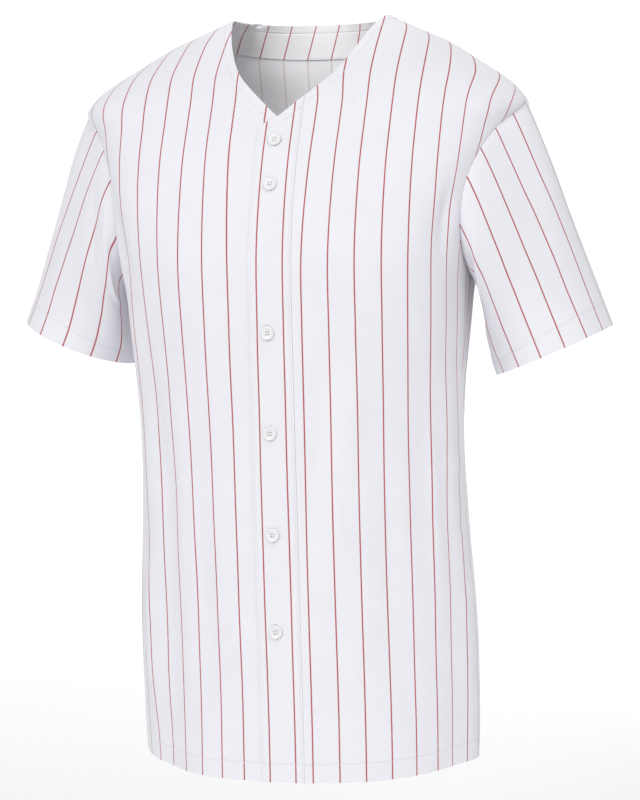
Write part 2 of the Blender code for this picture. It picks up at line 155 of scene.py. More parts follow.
# The largest folds, as in the solids
FOLDS = {
    "angle_top": (-62, -42, 72, 104, 128, 152, 176, -156, -132, -106, -70, 66),
    "z_top": (-0.24, -0.40, -0.34, -0.30, -0.22, -0.34, -0.26, -0.30, -0.24, -0.33, -0.13, -0.13),
    "angle_bottom": (-54, -50, 80, 102, 132, 156, 180, -152, -128, -100, -56, 55),
    "z_bottom": (-0.70, -0.80, -0.80, -0.80, -0.74, -0.80, -0.70, -0.80, -0.76, -0.80, -0.27, -0.25),
    "half_width": (9, 8, 8, 9, 9, 10, 9, 10, 9, 9, 7, 7),
    "height": (0.0035, -0.0030, 0.0035, -0.0050, 0.0080, -0.0060, 0.0070, -0.0065, 0.0075,
               -0.0050, -0.0030, -0.0030),
}
FOLD_FADE = 0.09

# Smaller creases: top, middle and bottom of the centre line, half width in degrees, height.
# Each grows wider downwards and fades over a share of its length at both ends
CREASE_WIDENS, CREASE_FADE = 0.5, 0.45
SLOW_WAVE, QUICK_WAVE = 0.0008, 0.00035
CREASES = (
    # angle, z at the top; angle, z in the middle; angle, z at the bottom; half width; height
    (-58, -0.15, -64, -0.215, -66, -0.3, 3.2, 0.003),
    (-70, -0.17, -72, -0.24, -70, -0.33, 2.8, -0.0026),
    (-48, -0.3, -50, -0.43, -44, -0.56, 3.6, -0.0026),
    (-34, -0.35, -38, -0.5, -36, -0.69, 3.4, 0.0022),
    (-24, -0.42, -27, -0.56, -24, -0.7, 3.0, -0.0018),
    (-56, -0.52, -60, -0.62, -58, -0.74, 3.2, 0.0028),
    (-70, -0.42, -74, -0.56, -72, -0.7, 3.4, -0.003),
    (21, -0.29, 15, -0.46, 7, -0.66, 4.0, -0.0032),
    (31, -0.28, 26, -0.44, 19, -0.62, 3.8, 0.0022),
    (40, -0.38, 41, -0.54, 38, -0.7, 3.6, -0.0022),
    (52, -0.16, 58, -0.21, 62, -0.29, 3.0, -0.0028),
    (60, -0.36, 62, -0.5, 60, -0.66, 3.2, 0.0028),
    (84, -0.44, 78, -0.462, 70, -0.476, 4.5, 0.0012),
    (86, -0.5, 80, -0.52, 72, -0.53, 4.0, -0.0014),
    (86, -0.56, 80, -0.59, 74, -0.62, 4.0, 0.0014),
    (88, -0.64, 82, -0.67, 74, -0.69, 4.5, -0.0014),
    (112, -0.28, 108, -0.4, 112, -0.56, 3.4, 0.0028),
    (122, -0.42, 118, -0.56, 116, -0.74, 3.2, -0.0026),
    (140, -0.2, 138, -0.33, 142, -0.5, 3.6, 0.0026),
    (148, -0.48, 146, -0.6, 140, -0.74, 3.2, 0.0028),
    (164, -0.33, 166, -0.47, 162, -0.64, 3.4, -0.0026),
    (172, -0.56, 169, -0.66, 171, -0.76, 3.0, 0.0022),
    (-172, -0.24, -170, -0.38, -174, -0.52, 3.2, 0.0022),
    (-164, -0.46, -166, -0.58, -162, -0.72, 3.4, -0.0028),
    (-144, -0.22, -142, -0.36, -146, -0.54, 3.4, -0.0024),
    (-138, -0.5, -141, -0.62, -138, -0.75, 3.2, 0.0026),
    (-118, -0.3, -115, -0.43, -119, -0.6, 3.4, 0.0026),
    (-112, -0.56, -108, -0.65, -110, -0.76, 3.2, -0.0024),
    (-92, -0.4, -90, -0.52, -94, -0.68, 3.0, 0.002),
    (94, -0.38, 96, -0.52, 92, -0.69, 3.0, 0.0018),
)

# Creases of a sleeve: turn from the top towards the front, share of the way to the cuff
SLEEVE_CREASE_FADE, SLEEVE_SMOOTH_TOP, SLEEVE_WAVE = 0.35, 0.12, 0.0006
SLEEVE_CREASES = {
    # turn, share at one end; turn, share at the other; half width as a share; height
    1: ((0.3, 0.12, 0.42, 0.42, 0.03, 0.0026), (0.36, 0.06, 0.5, 0.3, 0.026, -0.0026),
        (0.2, 0.35, 0.28, 0.85, 0.04, -0.0012), (0.1, 0.25, 0.14, 0.8, 0.04, 0.0014),
        (0.44, 0.5, 0.4, 0.95, 0.03, 0.0016), (0.62, 0.15, 0.56, 0.55, 0.03, 0.003),
        (0.72, 0.2, 0.68, 0.9, 0.035, -0.0026), (0.84, 0.25, 0.82, 0.9, 0.035, 0.0022)),
    -1: ((0.26, 0.05, 0.44, 0.45, 0.03, 0.003), (0.2, 0.1, 0.3, 0.5, 0.028, -0.0022),
         (0.14, 0.4, 0.18, 0.9, 0.04, 0.0014), (0.3, 0.55, 0.34, 0.95, 0.034, -0.0014),
         (0.46, 0.3, 0.44, 0.85, 0.03, -0.002), (0.62, 0.15, 0.58, 0.6, 0.03, 0.003),
         (0.7, 0.25, 0.74, 0.9, 0.035, -0.0026), (0.86, 0.2, 0.83, 0.9, 0.035, 0.002)),
}


def spline(xs, ys, x):
    """Smooth curve through a table's points, whose xs may rise or fall."""
    xs, ys = np.array(xs, float), np.array(ys, float)
    if xs[0] > xs[-1]:
        xs, ys = xs[::-1], ys[::-1]
    slopes = np.gradient(ys, xs)
    x = np.clip(x, xs[0], xs[-1])
    k = np.clip(np.searchsorted(xs, x) - 1, 0, len(xs) - 2)
    step = xs[k + 1] - xs[k]
    t = (x - xs[k]) / step
    start = (1 + 2 * t) * (1 - t) ** 2 * ys[k] + t * (1 - t) ** 2 * step * slopes[k]
    end = t * t * (3 - 2 * t) * ys[k + 1] - t * t * (1 - t) * step * slopes[k + 1]
    return start + end


def section(column, z):
    return spline(SECTIONS["z"], SECTIONS[column], z)


def smooth_step(x):
    x = np.clip(x, 0.0, 1.0)
    return x * x * (3 - 2 * x)


def unit(vectors):
    return vectors / np.linalg.norm(vectors, axis=-1, keepdims=True)


def gone_along(points):
    """Length along a line of points, up to each of them."""
    return np.concatenate([[0], np.cumsum(np.linalg.norm(np.diff(points, axis=0), axis=1))])


def at_lengths(wanted, gone, values):
    return np.stack([np.interp(wanted, gone, column) for column in values.T], axis=-1)


def across(theta, square):
    return (np.sin(theta) + square * np.sin(3 * theta)) / (1 - square)


def forward(theta, square):
    return (np.cos(theta) - square * np.cos(3 * theta)) / (1 - square)


def smooth_torso(theta, z):
    in_front = np.cos(theta) > 0
    square = np.where(in_front, section("front_square", z), section("back_square", z))
    depth = np.where(in_front, section("front", z), section("back", z))
    x = section("half_width", z) * across(theta, square)
    y = section("centre_y", z) - depth * forward(theta, square)
    return np.stack([x, y, z + 0 * x], axis=-1)


def normals_of(surface, theta, z):
    step_angle, step_z = 1e-3, 1e-4
    around = surface(theta + step_angle, z) - surface(theta - step_angle, z)
    down = surface(theta, z - step_z) - surface(theta, z + step_z)
    return unit(np.cross(down, around))


def fold_height(theta, z):
    total = 0.0 * theta
    degrees = np.degrees(theta)
    for k in range(len(FOLDS["z_top"])):
        top, bottom = FOLDS["z_top"][k], FOLDS["z_bottom"][k]
        share = np.clip((top - z) / (top - bottom), 0, 1)
        centre = FOLDS["angle_top"][k] * (1 - share) + FOLDS["angle_bottom"][k] * share
        away = ((degrees - centre + 180) % 360 - 180) / FOLDS["half_width"][k]
        fade = smooth_step((top - z) / FOLD_FADE) * smooth_step((z - bottom) / FOLD_FADE + 0.5)
        total = total + FOLDS["height"][k] * np.exp(-away * away) * fade
    return total


def crease_height(theta, z):
    """Small soft creases, on top of the largest folds."""
    total = 0.0 * theta
    degrees = np.degrees(theta)
    for a0, z0, a1, z1, a2, z2, half_width, height in CREASES:
        share = np.clip((z0 - z) / (z0 - z2), 0, 1)
        middle = (z0 - z1) / (z0 - z2)
        bow = (a1 - a0 - (a2 - a0) * middle) / (middle * (1 - middle))
        centre = a0 + (a2 - a0) * share + bow * share * (1 - share)
        away = ((degrees - centre + 180) % 360 - 180) / (half_width * (1 + CREASE_WIDENS * share))
        ends = CREASE_FADE * (z0 - z2)
        fade = smooth_step((z0 - z) / ends) * smooth_step((z - z2) / ends)
        total = total + height * np.exp(-away * away) * fade
    slow = np.sin(3.1 * theta + 9 * z) * np.sin(17 * z + 1.7 * theta + 0.6)
    quick = np.sin(11 * theta - 21 * z + 1.1) * np.sin(31 * z + 5 * theta)
    return total + SLOW_WAVE * slow + QUICK_WAVE * quick


def torso(theta, z):
    """Outer face of a single layer of cloth, with its folds and creases."""
    out = normals_of(smooth_torso, theta, z)
    return smooth_torso(theta, z) + out * (fold_height(theta, z) + crease_height(theta, z))[..., None]


def angle_at(x, z):
    angles = np.linspace(-math.pi / 2, math.pi / 2, ANGLE_SAMPLES)
    x, z = np.broadcast_arrays(np.asarray(x, float), np.asarray(z, float))
    found = np.empty(x.shape)
    for index in np.ndindex(x.shape):
        reach = section("half_width", z[index]) * across(angles, section("front_square", z[index]))
        found[index] = np.interp(x[index], reach, angles)
    return found


def hem_z(theta):
    return HEM_Z + SIDE_HEM_RISE * np.sin(theta) ** 4


class ArcTable:
    """Length along the cloth, on level sections of the torso, from the centre front."""

    def __init__(self):
        self.theta = np.linspace(-math.pi, math.pi, 1441)
        self.z = np.linspace(0.0, -0.80, 161)
        rows = []
        for level in self.z:
            gone = gone_along(smooth_torso(self.theta, level))
            rows.append(gone - np.interp(0.0, self.theta, gone))
        self.lengths = np.array(rows)

    def __call__(self, theta, z):
        theta = (theta + math.pi) % (2 * math.pi) - math.pi
        column = (theta - self.theta[0]) / (self.theta[1] - self.theta[0])
        row = np.clip((z - self.z[0]) / (self.z[1] - self.z[0]), 0, len(self.z) - 1.001)
        c = np.clip(column.astype(int), 0, len(self.theta) - 2)
        r = row.astype(int)
        fc, fr = column - c, row - r
        table = self.lengths
        low = table[r, c] * (1 - fc) + table[r, c + 1] * fc
        high = table[r + 1, c] * (1 - fc) + table[r + 1, c + 1] * fc
        return low * (1 - fr) + high * fr

    def half(self, z):
        """Length from the centre front to the centre back."""
        return np.interp(-z, -self.z, self.lengths[:, -1])


arc = ArcTable()


def armhole_line(swing, count):
    turn = np.linspace(0, math.pi, count + 1)
    z = TIP_Z + (UNDERARM_Z - TIP_Z) * (1 - np.cos(turn)) / 2
    theta = math.pi / 2 - math.radians(swing) * np.sin(turn) ** ARMHOLE_SHAPE
    return theta, z


def patch(inner, outer, bottom, top):
    """Coons patch between four lists of (angle, height). Rows run up and columns run outwards."""
    rows, columns = len(inner), len(bottom)
    t = np.linspace(0, 1, rows)[:, None, None]
    c = np.linspace(0, 1, columns)[None, :, None]
    across_rows = (1 - c) * inner[:, None] + c * outer[:, None]
    up_columns = (1 - t) * bottom[None] + t * top[None]
    corners = (1 - t) * ((1 - c) * bottom[0] + c * bottom[-1])
    corners = corners + t * ((1 - c) * top[0] + c * top[-1])
    return across_rows + up_columns - corners


def lower_heights():
    length = UNDERARM_Z - HEM_Z
    hem_rows = (0.0, 0.0008, 0.002, 0.006, 0.012, 0.016, 0.018, HEM_DEPTH, 0.0202, 0.0225)
    hem_rows = np.array(hem_rows) / length
    return np.concatenate([hem_rows, np.linspace(hem_rows[-1], 1, LOWER_ROWS + 2 - len(hem_rows))[1:]])


def spread(line, count):
    """Points of a (angle, height) line at even distances along the cloth."""
    gone = gone_along(smooth_torso(line[:, 0], line[:, 1]))
    return at_lengths(np.linspace(0, gone[-1], count), gone, line)


def panel_plan(inner_at, neck_line, swing, columns):
    """(angle, height) of each grid point of half a front or back, on the wearer's left."""
    shares = lower_heights()[:, None]
    c = np.linspace(0, 1, columns + 1)[None, :]
    start = float(inner_at(UNDERARM_Z))
    low = hem_z(start * (1 - c) + math.pi / 2 * c)
    lower_z = low + (UNDERARM_Z - low) * shares
    lower_angle = inner_at(lower_z[:, 0])[:, None] * (1 - c) + math.pi / 2 * c
    lower = np.stack([lower_angle, lower_z], axis=-1)
    rise_z = np.linspace(UNDERARM_Z, neck_line[0, 1], PLAN_SAMPLES)
    rise = spread(np.stack([inner_at(rise_z), rise_z], axis=-1), UPPER_ROWS - NECK_ROWS + 1)
    inner = np.concatenate([rise, spread(neck_line, NECK_ROWS + 1)[1:]])
    outer = np.stack(armhole_line(swing, UPPER_ROWS), axis=-1)[::-1]
    ridge_z = np.linspace(neck_line[-1, 1], TIP_Z, PLAN_SAMPLES)
    ridge = np.stack([np.full(PLAN_SAMPLES, math.pi / 2), ridge_z], axis=-1)
    upper = patch(inner, outer, lower[-1], spread(ridge, columns + 1))
    return np.concatenate([lower, upper[1:]])


def front_neck_line(from_x):
    count = len(NECK_EDGE["x"])
    finer = np.linspace(0, count - 1, NECK_SAMPLES)
    x = spline(range(count), NECK_EDGE["x"], finer)
    z = spline(range(count), NECK_EDGE["z"], finer)
    keep = x > from_x
    first_z = np.interp(from_x, x, z)
    x, z = np.append(from_x, x[keep]), np.append(first_z, z[keep])
    theta = angle_at(x, z)
    theta[-1] = math.pi / 2
    return np.stack([theta, z], axis=-1)


def front_plan(inner_x):
    return panel_plan(
        lambda z: angle_at(inner_x, z), front_neck_line(inner_x), ARMHOLE_FRONT_SWING, COLUMNS
    )


def facing_line():
    """(angle, height) of the facing's lower edge, from the centre back to the shoulder seam."""
    theta = np.linspace(0, math.pi / 2, PLAN_SAMPLES)
    middle = np.cos(theta) ** FACING_SHAPE
    return np.stack([theta, -(FACING_DEPTH * middle + FACING_END_DROP * (1 - middle))], axis=-1)


def back_plan():
    return panel_plan(lambda z: 0 * np.asarray(z), facing_line(), ARMHOLE_BACK_SWING, COLUMNS)


def neck_strip_plan():
    low = spread(facing_line(), NECK_ROWS + 1)
    up = np.linspace(0, 1, FACING_ROWS + 1)[:, None]
    return np.stack([low[:, 0] + 0 * up, low[:, 1] * (1 - up)], axis=-1)


def cap_direction(count):
    turn = np.linspace(0, 2 * math.pi, count, endpoint=False)
    lean = math.radians(SLEEVE_LEAN)
    sideways = math.sin(lean) + CAP_SPREAD + CAP_SPREAD_SWING * np.cos(turn)
    return unit(np.stack([sideways, 0 * turn, np.full(count, -math.cos(lean))], axis=-1))


def armhole(side):
    """Points and mitred outward normals round an armhole: tip, front, underarm, back."""
    count = UPPER_ROWS
    front_angle, front_z = armhole_line(ARMHOLE_FRONT_SWING, count)
    back_angle, back_z = armhole_line(ARMHOLE_BACK_SWING, count)
    theta = np.concatenate([front_angle, math.pi - back_angle[-2:0:-1]]) * side
    z = np.concatenate([front_z, back_z[-2:0:-1]])
    points = torso(theta, z)
    body_out = normals_of(torso, theta, z)
    along = np.roll(points, -1, axis=0) - np.roll(points, 1, axis=0)
    start = cap_direction(len(points)) * (side, 1, 1)
    sleeve_out = unit(np.cross(along, start)) * side
    return points, unit(body_out + sleeve_out), start


def armhole_shift(side):
    points, normals, _ = armhole(side)
    along = np.roll(points, -1, axis=0) - np.roll(points, 1, axis=0)
    sideways = unit(np.cross(normals, along))
    return sideways * np.sign(sideways[:, :1].sum() * side) * SEAM_GAP / 2


def armhole_order(back):
    if back:
        return np.arange(UPPER_ROWS, 2 * UPPER_ROWS + 1) % (2 * UPPER_ROWS)
    return np.arange(UPPER_ROWS, -1, -1)


def way_to(points, line):
    """Distance of each point from a line."""
    gone = gone_along(line)
    line = at_lengths(np.linspace(0, gone[-1], int(gone[-1] / WAY_STEP) + 2), gone, line)
    flat = points.reshape(-1, 3)
    nearest = np.full(len(flat), 1.0)
    for start in range(0, len(flat), 2000):
        some = flat[start:start + 2000]
        nearest[start:start + 2000] = np.linalg.norm(some[:, None] - line[None], axis=-1).min(axis=1)
    return nearest.reshape(points.shape[:-1])


def seam_ditch(way):
    """How far cloth rolls in beside a seam."""
    return SEAM_DITCH * np.exp(-((way / SEAM_DITCH_WIDTH) ** 2))


def add_object(name, data):
    made = bpy.data.objects.new(name, data)
    bpy.context.scene.collection.objects.link(made)
    return made


def smooth_object(name, data):
    """An object of a mesh, its faces turned outwards and shaded smooth."""
    mesh = bmesh.new()
    mesh.from_mesh(data)
    bmesh.ops.recalc_face_normals(mesh, faces=mesh.faces)
    mesh.to_mesh(data)
    mesh.free()
    data.shade_smooth()
    return add_object(name, data)


class Cloth:
    """A closed two-sided sheet that is put together from grids of points."""

    def __init__(self):
        self.points, self.faces, self.looks = [], [], []
        self.knit, self.ways = [], []

    def add_points(self, grid, given=None):
        index = np.full(grid.shape[:2], -1) if given is None else given.copy()
        fresh = index < 0
        index[fresh] = len(self.points) + np.arange(fresh.sum())
        self.points.extend(grid[fresh].tolist())
        return index

    def add_faces(self, index, knit, ways, look):
        """Faces between the points of a grid, with their places on the flat cloth."""
        corners = [(slice(0, -1), slice(0, -1)), (slice(0, -1), slice(1, None)),
                   (slice(1, None), slice(1, None)), (slice(1, None), slice(0, -1))]
        quads = np.stack([index[c] for c in corners], axis=-1).reshape(-1, 4)
        self.faces.extend(quads.tolist())
        self.looks.extend([look] * len(quads))
        for store, values in ((self.knit, knit), (self.ways, ways)):
            store.append(np.stack([values[c] for c in corners], axis=2).reshape(-1, 2))

    def add_rim(self, outer, inner, knit, ways):
        """The cut or folded edge between the two faces of the cloth."""
        self.add_faces(np.stack([outer, inner]), np.stack([knit, knit]), np.stack([ways, ways]), 0)

    def finish(self, name, coats):
        data = bpy.data.meshes.new(name)
        data.from_pydata(self.points, [], self.faces)
        for coat in coats:
            data.materials.append(coat)
        data.polygons.foreach_set("material_index", self.looks)
        for layer, values in (("knit", self.knit), ("ways", self.ways)):
            uv = data.uv_layers.new(name=layer)
            uv.data.foreach_set("uv", np.concatenate(values).ravel())
        data.uv_layers.active = data.uv_layers["knit"]
        made = smooth_object(name, data)
        data.set_sharp_from_angle(angle=math.radians(SHARP_FROM))
        return made


def stripe_shift(side_name, along, z):
    """Shift of the stripes at places given by their length along the cloth and their height."""
    table = DRIFT[side_name]
    rows = [np.interp(np.abs(along), table["along"], np.array(row) / 1000) for row in table["shift"]]
    total = rows[0]
    for k in range(len(rows) - 1):
        high, low = table["z"][k], table["z"][k + 1]
        part = smooth_step((high - z) / (high - low))
        total = total + (rows[k + 1] - rows[k]) * part
    return total


def hem_thickness(above):
    """Thickness of cloth at a height above the hem's edge."""
    return CLOTH + (HEM_CLOTH - CLOTH) * smooth_step((HEM_STEP_TOP - above) / HEM_STEP)


def top_layer_lift(points):
    beside = smooth_step(1 - (points[..., 0] - BAND_SEAM_X) / BAND_SETTLE)
    return BAND_CLOTH * beside


def face_of(plan, side, back, lift=None):
    """Outer face and its normals, and the places on the flat cloth, of a grid on the body."""
    theta = (math.pi - plan[..., 0] if back else plan[..., 0]) * side
    z = plan[..., 1]
    outer = torso(theta, z)
    normals = normals_of(torso, theta, z)
    if len(plan) > UPPER_ROWS:
        normals[LOWER_ROWS:, -1] = armhole(side)[1][armhole_order(back)]
    if lift is not None:
        outer = outer + normals * lift(outer)[..., None]
    along = arc(theta, z)
    if back:
        along = np.abs(arc.half(z) - np.abs(along)) * side
    return outer, normals, along, z


def panel(plan, side, back, start, neck_line, lift=None):
    """Both faces of half a front or back, and its places on the flat cloth."""
    outer, normals, along, z = face_of(plan, side, back, lift)
    under = LOWER_ROWS
    own_way = np.array((0, SEAM_GAP / 2 if back else -SEAM_GAP / 2, 0))
    above_hem = z - hem_z(plan[..., 0])
    ditch = np.maximum(seam_ditch(way_to(outer, outer[:, -1])), seam_ditch(way_to(outer, outer[-1])))
    skin = outer - normals * ditch[..., None]
    inner = skin - normals * hem_thickness(above_hem)[..., None]
    for face in (skin, inner):
        face[-1] += own_way
        face[: under + 1, -1] += own_way
        face[under:, -1] -= armhole_shift(side)[armhole_order(back)]
    if back:
        along = along - BACK_STRIPE_LEAN * np.maximum(z, -FACING_DEPTH)
    else:
        along = along - stripe_shift("left" if side == 1 else "right", along, z)
    knit = np.stack([along - start, z], axis=-1)
    ways = np.stack([above_hem, way_to(outer, neck_line)], axis=-1)
    return skin, inner, knit, ways


def main_grid(cloth, skin, inner, knit, ways, given=None, rims=("bottom", "top", "first", "last")):
    """Adds both faces of a grid and the rims that are named, and returns its indices."""
    pair = given or (None, None)
    outside = cloth.add_points(skin, pair[0])
    inside = cloth.add_points(inner, pair[1])
    cloth.add_faces(outside, knit, ways, 0)
    cloth.add_faces(inside, knit, ways, 1)
    edges = {"bottom": np.s_[0, :], "top": np.s_[-1, :], "first": np.s_[:, 0], "last": np.s_[:, -1]}
    for name in rims:
        where = edges[name]
        cloth.add_rim(outside[where], inside[where], knit[where], ways[where])
    return outside, inside


def front_object(name, inner_x, side, start, coats, lift=None):
    plan = front_plan(inner_x)
    line = front_neck_line(inner_x)
    neck = torso(line[:, 0] * side, line[:, 1])
    cloth = Cloth()
    skin, inner, knit, ways = panel(plan, side, False, start, neck, lift)
    if lift is not None:
        for face in (skin, inner):
            face[: len(plan) - NECK_ROWS, 0, 0] += SEAM_GAP / 2
    main_grid(cloth, skin, inner, knit, ways)
    return cloth.finish(name, coats)


def back_object(coats, facing_coats):
    plan, strip = back_plan(), neck_strip_plan()
    cloth, facing = Cloth(), Cloth()
    own_way = np.array((0, SEAM_GAP / 2, 0))
    lower = len(plan) - NECK_ROWS
    left = left_strip = facing_left = None
    for side in (1, -1):
        edge = neck_strip_plan()[-1]
        theta = (math.pi - edge[:, 0]) * side
        neck = torso(theta, edge[:, 1])
        skin, inner, knit, ways = panel(plan, side, True, STRIPE_START["back"], neck)
        given = None
        if left is not None:
            given = [np.full(skin.shape[:2], -1) for _ in range(2)]
            for mine, theirs in zip(given, left):
                mine[:lower, 0] = theirs[:lower, 0]
        half = main_grid(cloth, skin, inner, knit, ways, given, ("bottom", "top", "last"))

        outer, normals, along, z = face_of(strip, side, True)
        along = along - BACK_STRIPE_LEAN * np.maximum(z, -FACING_DEPTH)
        knit = np.stack([along - STRIPE_START["back"], z], axis=-1)
        ways = np.stack([0 * z + 1, way_to(outer, neck)], axis=-1)
        skin, inner = outer.copy(), outer - normals * CLOTH
        within = outer - normals * (SOLID_CLOTH + SEAM_GAP)
        further = within - normals * FACING_CLOTH
        for face in (skin, inner, within, further):
            face[:, -1] += own_way
        given = [np.full(skin.shape[:2], -1) for _ in range(2)]
        for mine, theirs in zip(given, half):
            mine[0] = theirs[lower - 1:, 0]
        if left_strip is not None:
            for mine, theirs in zip(given, left_strip):
                mine[:, 0] = theirs[:, 0]
        this_strip = main_grid(cloth, skin, inner, knit, ways, given, ("top", "last"))

        given = None
        if facing_left is not None:
            given = [np.full(skin.shape[:2], -1) for _ in range(2)]
            for mine, theirs in zip(given, facing_left):
                mine[:, 0] = theirs[:, 0]
        this_facing = main_grid(facing, within, further, knit, ways, given, ("bottom", "top", "last"))
        if side == 1:
            left, left_strip, facing_left = half, this_strip, this_facing
    return cloth.finish("cloth_back", coats), facing.finish("cloth_neck_facing", facing_coats)


def band_grid():
    """The button band: a folded strip from hem to neck edge, over the right front's edge."""
    x = np.linspace(BAND_EDGE_X, BAND_SEAM_X - SEAM_GAP / 2, BAND_COLUMNS + 1)
    neck = np.interp(x, NECK_EDGE["x"], NECK_EDGE["z"])
    share = np.linspace(0, 1, LOWER_ROWS + UPPER_ROWS)[:, None]
    z = HEM_Z + (neck - HEM_Z) * share
    theta = angle_at(x + 0 * z, z)
    normals = normals_of(torso, theta, z)
    return torso(theta, z), normals, arc(theta, z), z


def band_object(coats):
    base, normals, along, z = band_grid()
    line = front_neck_line(BAND_EDGE_X)
    neck = torso(line[:, 0], line[:, 1])
    roll = np.zeros(z.shape)
    roll[:, 0] = 0.0006
    roll[:, -1] = 0.0005
    roll[:, -2] = 0.0002
    inner = base + normals * LAP_GAP
    skin = inner + normals * (BAND_CLOTH - roll)[..., None]
    cloth = Cloth()
    knit = np.stack([along - STRIPE_START["band"], z], axis=-1)
    ways = np.stack([z - HEM_Z, way_to(skin, neck)], axis=-1)
    main_grid(cloth, skin, inner, knit, ways)
    return cloth.finish("cloth_band", coats)


def cuff_ring(side, count):
    turn = np.linspace(0, 2 * math.pi, count, endpoint=False)[:, None]
    lean = math.radians(SLEEVE_LEAN)
    outward = np.array((math.cos(lean), 0, math.sin(lean)))
    ring = np.array((CUFF_X, CUFF_Y, CUFF_Z[side])) + CUFF_HALF_WIDTH * np.cos(turn) * outward
    ring = ring - np.sin(turn) * np.array((0, CUFF_HALF_DEPTH, CUFF_TILT))
    return ring * (side, 1, 1)


def sleeve_creases(side, turn, share):
    total = 0 * (turn + share)
    for t0, s0, t1, s1, width, height in SLEEVE_CREASES[side]:
        along = np.array((t1 - t0, s1 - s0))
        length = np.linalg.norm(along)
        along = along / length
        part = ((turn - t0) * along[0] + (share - s0) * along[1]) / length
        away = ((turn - t0) * along[1] - (share - s0) * along[0]) / width
        fade = smooth_step(part / SLEEVE_CREASE_FADE) * smooth_step((1 - part) / SLEEVE_CREASE_FADE)
        total = total + height * np.exp(-away * away) * fade
    slow = np.sin(5 * 2 * math.pi * turn + 4 * share) * np.sin(6 * share + 9 * turn)
    return (total + SLEEVE_WAVE * slow) * smooth_step(share / SLEEVE_SMOOTH_TOP)


def sleeve_grid(side):
    start, start_normals, start_way = armhole(side)
    end = cuff_ring(side, len(start))
    lean = math.radians(SLEEVE_LEAN)
    axis = np.array((math.sin(lean) * side, 0, -math.cos(lean)))
    reach = np.linalg.norm(end - start, axis=1, keepdims=True)
    hem_share = HEM_DEPTH / reach.mean()
    hem = 1 - hem_share * np.array([1.18, 1.06, 1.0, 0.95, 0.85, 0.6, 0.3, 0.1, 0.04, 0.0])
    shares = np.concatenate([np.linspace(0, hem[0], SLEEVE_ROWS - 9)[:-1], hem])
    rows = []
    for t in shares:
        begin = (1 + 2 * t) * (1 - t) ** 2 * start + t * (1 - t) ** 2 * reach * start_way
        finish = t * t * (3 - 2 * t) * end - t * t * (1 - t) * reach * axis
        rows.append(begin + finish)
    outer = np.array(rows)
    along = np.gradient(outer, axis=0)
    around = np.roll(outer, -1, axis=1) - np.roll(outer, 1, axis=1)
    normals = unit(np.cross(around, along)) * side
    normals[0] = start_normals
    count = len(start)
    turn = (np.arange(count) / count)[None]
    outer = outer + normals * sleeve_creases(side, turn, shares[:, None])[..., None]
    return outer, normals, shares, axis, reach.mean()


def sleeve_object(side, name, start, coats):
    outer, normals, shares, axis, reach = sleeve_grid(side)
    count = outer.shape[1]
    from_cuff = (1 - shares) * reach
    thick = hem_thickness(from_cuff)
    ditch = seam_ditch(shares * reach)
    skin = outer - normals * ditch[:, None, None]
    inner = skin - normals * thick[:, None, None]
    for face in (skin, inner):
        face[0] += armhole_shift(side)

    # Stripes run along the sleeve, so a place across them is the way round, square to its axis
    closed = np.concatenate([outer, outer[:, :1]], axis=1)
    step = np.diff(closed, axis=1)
    step = step - (step @ axis)[..., None] * axis
    gone = np.cumsum(np.linalg.norm(step, axis=-1), axis=1)
    gone = np.concatenate([np.zeros((len(outer), 1)), gone], axis=1)
    seam = count // 2
    order = np.arange(seam, seam + count + 1)
    wrapped = order % count
    before_top = gone[:, np.minimum(order, count)] - gone[:, -1:]
    from_top = np.where(order <= count, before_top, gone[:, wrapped])
    down = outer @ axis
    knit = np.stack([from_top * SLEEVE_STRIPE_SHARE[side] - start, down[:, wrapped]], axis=-1)
    no_way = np.ones((len(outer), count + 1))
    ways = np.stack([from_cuff[:, None] * no_way, no_way], axis=-1)
    cloth = Cloth()
    outside = cloth.add_points(skin)[:, wrapped]
    inside = cloth.add_points(inner)[:, wrapped]
    cloth.add_faces(outside, knit, ways, 0)
    cloth.add_faces(inside, knit, ways, 1)
    for row in (0, -1):
        cloth.add_rim(outside[row], inside[row], knit[row], ways[row])
    return cloth.finish(name, coats), skin, normals, shares, reach


